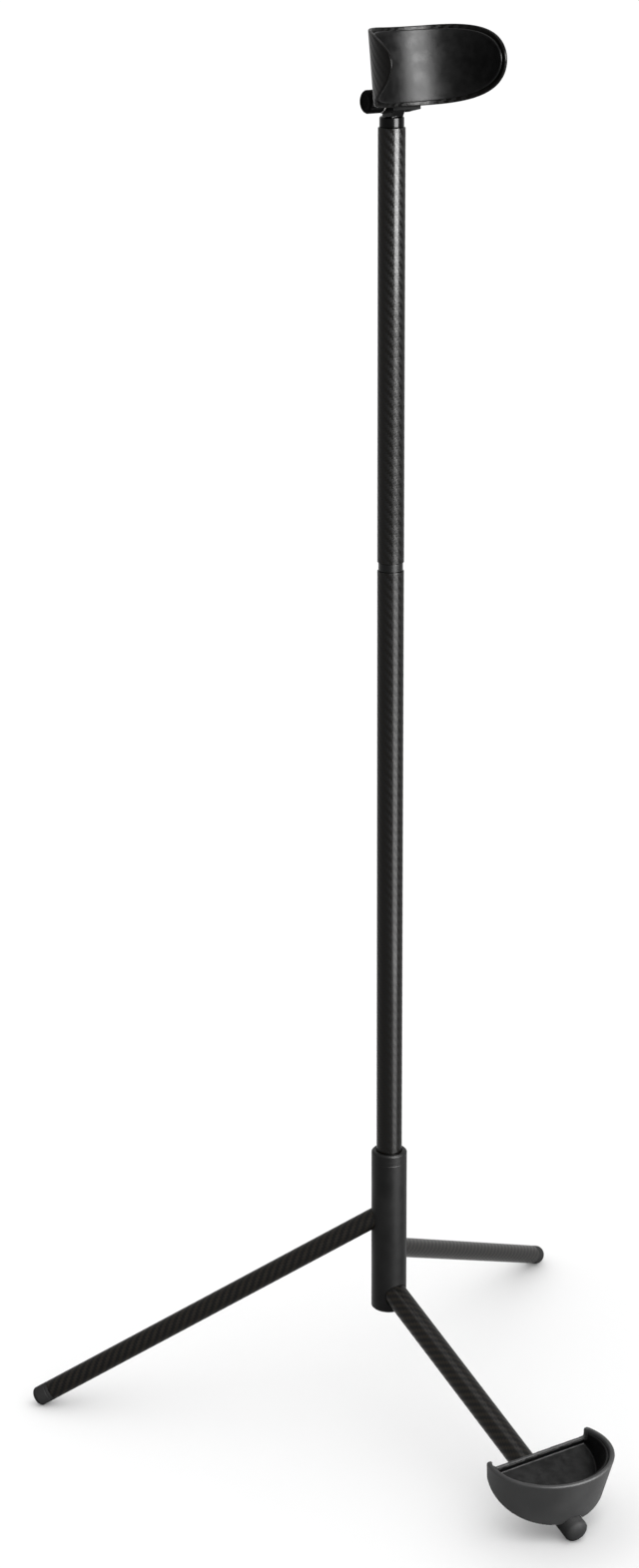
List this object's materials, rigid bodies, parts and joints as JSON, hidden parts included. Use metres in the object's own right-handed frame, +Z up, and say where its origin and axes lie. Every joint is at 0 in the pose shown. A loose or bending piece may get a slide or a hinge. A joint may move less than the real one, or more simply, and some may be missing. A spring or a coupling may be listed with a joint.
{
  "type": "saxophone stand",
  "caption": "Take-apart tripod stand: a slim two-piece mast on a round hub with push-in legs, a tilting lined C cradle on top and a half-moon cup on the front leg.",
  "frame": {"origin": "on the ground, under the middle of the whole stand's bounding box; the mast axis stands 56 mm from it along +Y", "axes": "+Z up along the mast; the front leg, its cup and the cradle's opening point along -Y; +X to the right of someone facing +Y"},
  "size_m": [0.45, 0.3788, 0.9783],
  "materials": {
    "carbon_tube": "gloss carbon fibre tube with a fine woven surface",
    "hub": "satin black anodised, turned",
    "ferrule": "black anodised, turned",
    "neck_metal": "gloss black anodised",
    "ring_rubber": "smooth black rubber",
    "foot_rubber": "matte moulded rubber",
    "cup_shell": "fine-grained matte moulding",
    "soft_lining": "thin soft lining with a fine nap",
    "cradle_shell": "gloss carbon fibre shell",
    "bracket_plastic": "satin moulded nylon",
    "knob_plastic": "satin moulded knob",
    "washer_nylon": "smooth nylon",
    "fastener_steel": "plain turned steel"
  },
  "bodies": {
    "hub": {"hub_body": "hub", "hub_o_ring": "ring_rubber", "left_leg_o_ring": "ring_rubber", "right_leg_o_ring": "ring_rubber", "front_leg_o_ring": "ring_rubber"},
    "left_leg": {"left_leg_tube": "carbon_tube", "left_foot_cap": "foot_rubber"},
    "right_leg": {"right_leg_tube": "carbon_tube", "right_foot_cap": "foot_rubber"},
    "front_leg": {"front_leg_tube": "carbon_tube", "front_foot_cap": "foot_rubber", "cup_shell": "cup_shell", "cup_lining": "soft_lining", "cup_set_screw": "fastener_steel"},
    "lower_mast": {"lower_mast_tube": "carbon_tube", "mast_ferrule": "ferrule", "ferrule_o_ring_1": "ring_rubber", "ferrule_o_ring_2": "ring_rubber"},
    "upper_mast": {"upper_mast_tube": "carbon_tube"},
    "neck": {"neck_stem": "neck_metal", "neck_o_ring_1": "ring_rubber", "neck_o_ring_2": "ring_rubber", "tilt_washer_left": "washer_nylon", "tilt_washer_right": "washer_nylon"},
    "cradle": {"cradle_shell": "cradle_shell", "cradle_lining": "soft_lining", "cradle_bracket": "bracket_plastic", "cradle_screw_left": "fastener_steel", "cradle_screw_right": "fastener_steel", "tilt_nut": "fastener_steel"},
    "clamp_knob": {"tilt_knob": "knob_plastic", "tilt_stud": "fastener_steel", "knob_washer": "fastener_steel"}
  },
  "joints": [
    {"name": "left_leg_pull_out", "type": "slide", "parent": "hub", "child": "left_leg", "axis": [-0.7526, 0.4345, -0.4947], "range_m": [0, 0.022]},
    {"name": "right_leg_pull_out", "type": "slide", "parent": "hub", "child": "right_leg", "axis": [0.7884, 0.4552, -0.4137], "range_m": [0, 0.022]},
    {"name": "front_leg_pull_out", "type": "slide", "parent": "hub", "child": "front_leg", "axis": [0, -0.9417, -0.3366], "range_m": [0, 0.022]},
    {"name": "mast_lift_out", "type": "slide", "parent": "hub", "child": "lower_mast", "axis": [0, 0, 1], "range_m": [0, 0.032]},
    {"name": "mast_section_pull_off", "type": "slide", "parent": "lower_mast", "child": "upper_mast", "axis": [0, 0, 1], "range_m": [0, 0.05]},
    {"name": "cradle_swivel", "type": "hinge", "parent": "upper_mast", "child": "neck", "pos_m": [0, 0.0561, 0.913], "axis": [0, 0, 1], "range_deg": [-180, 180]},
    {"name": "cradle_tilt", "type": "hinge", "parent": "neck", "child": "cradle", "pos_m": [0, 0.0521, 0.9305], "axis": [1, 0, 0], "range_deg": [-30, 30]},
    {"name": "knob_turn", "type": "hinge", "parent": "cradle", "child": "clamp_knob", "pos_m": [0, 0.0521, 0.9305], "axis": [1, 0, 0], "range_deg": [0, 360]}
  ]
}
